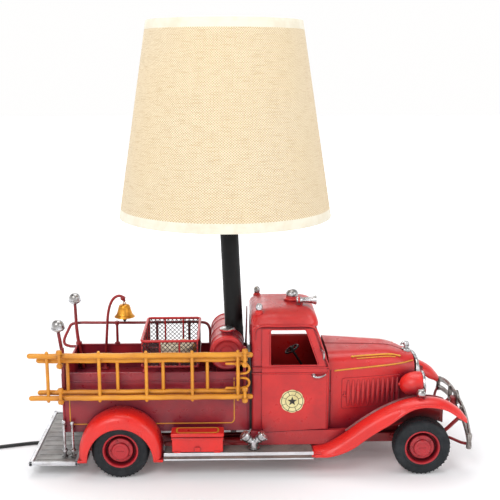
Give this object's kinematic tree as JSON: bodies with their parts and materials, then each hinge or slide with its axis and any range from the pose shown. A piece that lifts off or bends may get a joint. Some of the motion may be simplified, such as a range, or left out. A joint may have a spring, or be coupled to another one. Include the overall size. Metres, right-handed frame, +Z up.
{
  "type": "table lamp",
  "caption": "Table lamp with a tapered woven shade on a black pole that rises from a metal model of an old fire engine with ladders, bell, basket and rolling wheels.",
  "frame": {"origin": "on the table, under the middle of the lamp's box without its cord", "axes": "+Z up, +X the way the fire engine faces, +Y its left side"},
  "size_m": [0.561, 0.2032, 0.4295],
  "materials": {
    "tyre": "moulded rubber, satin",
    "red_paint": "hand-aged gloss red enamel with burgundy shading",
    "dark_red_paint": "aged burgundy enamel",
    "black_paint": "satin black powder coat",
    "aged_tin": "distressed tinplate",
    "seat_paint": "dark brown painted seat",
    "chrome": "bright plate, slightly worn",
    "yellow_paint": "aged yellow-orange enamel",
    "bell_brass": "polished brass",
    "canvas": "woven cotton hose",
    "lamp_brass": "satin brass plate",
    "black_plastic": "moulded black",
    "bulb_glass": "frosted white",
    "shade_cloth": "coarse woven burlap with cream trim",
    "shade_wire": "off-white coated wire",
    "cord_black": "black PVC"
  },
  "bodies": {
    "root": {"rear_fender_right": "red_paint", "rear_fender_left": "red_paint", "front_fender_right": "red_paint", "front_fender_left": "red_paint", "cab": "red_paint", "hood": "red_paint", "headlight_right": "red_paint", "headlight_left": "red_paint", "bell_post": "red_paint", "basket": "red_paint", "tank": "red_paint", "toolbox": "red_paint", "chassis": "dark_red_paint", "hose_body": "dark_red_paint", "handrail": "dark_red_paint", "front_axle": "black_paint", "rear_axle": "black_paint", "lamp_pole": "black_paint", "steering_wheel": "black_paint", "running_board_right": "aged_tin", "running_board_left": "aged_tin", "rear_step": "aged_tin", "seat": "seat_paint", "radiator": "chrome", "front_bumper": "chrome", "roof_beacon": "chrome", "siren": "chrome", "spotlight_right": "chrome", "spotlight_left": "chrome", "hose_inlet": "chrome", "ladder_outer": "yellow_paint", "ladder_inner": "yellow_paint", "ladder_rack_rear": "yellow_paint", "ladder_rack_front": "yellow_paint", "hose_roll": "canvas", "pole_nut": "lamp_brass", "socket_cap": "lamp_brass", "socket_shell": "lamp_brass", "harp": "lamp_brass", "finial": "lamp_brass", "bulb": "bulb_glass", "shade": "shade_cloth", "shade_spider": "shade_wire", "shade_bottom_ring": "shade_wire", "cord_gland": "cord_black", "cord_run": "cord_black", "cord_coil": "cord_black", "cord_plug": "cord_black", "cord_tail": "cord_black"},
    "wheel_front_right": {"tyre_front_right": "tyre", "rim_front_right": "red_paint"},
    "wheel_front_left": {"tyre_front_left": "tyre", "rim_front_left": "red_paint"},
    "wheel_rear_right": {"tyre_rear_right": "tyre", "rim_rear_right": "red_paint"},
    "wheel_rear_left": {"tyre_rear_left": "tyre", "rim_rear_left": "red_paint"},
    "bell": {"bell": "bell_brass"},
    "clapper": {"clapper": "bell_brass"},
    "switch_knob": {"switch_knob": "black_plastic"}
  },
  "joints": [
    {"name": "wheel_front_right_spin", "type": "hinge", "parent": "root", "child": "wheel_front_right", "pos_m": [0.1635, -0.0615, 0.02733], "axis": [0, 1, 0], "continuous": true},
    {"name": "wheel_front_left_spin", "type": "hinge", "parent": "root", "child": "wheel_front_left", "pos_m": [0.1635, 0.0615, 0.02733], "axis": [0, 1, 0], "continuous": true},
    {"name": "wheel_rear_right_spin", "type": "hinge", "parent": "root", "child": "wheel_rear_right", "pos_m": [-0.125, -0.0615, 0.02733], "axis": [0, 1, 0], "continuous": true},
    {"name": "wheel_rear_left_spin", "type": "hinge", "parent": "root", "child": "wheel_rear_left", "pos_m": [-0.125, 0.0615, 0.02733], "axis": [0, 1, 0], "continuous": true},
    {"name": "bell_swing", "type": "hinge", "parent": "root", "child": "bell", "pos_m": [-0.1298, 0.038, 0.1436], "axis": [0, 1, 0], "range_deg": [-20, 20]},
    {"name": "clapper_swing", "type": "hinge", "parent": "bell", "child": "clapper", "pos_m": [-0.1298, 0.038, 0.1402], "axis": [0, 1, 0], "range_deg": [-22, 22]},
    {"name": "switch_turn", "type": "hinge", "parent": "root", "child": "switch_knob", "pos_m": [0, 0, 0.2849], "axis": [1, 0, 0], "continuous": true}
  ]
}
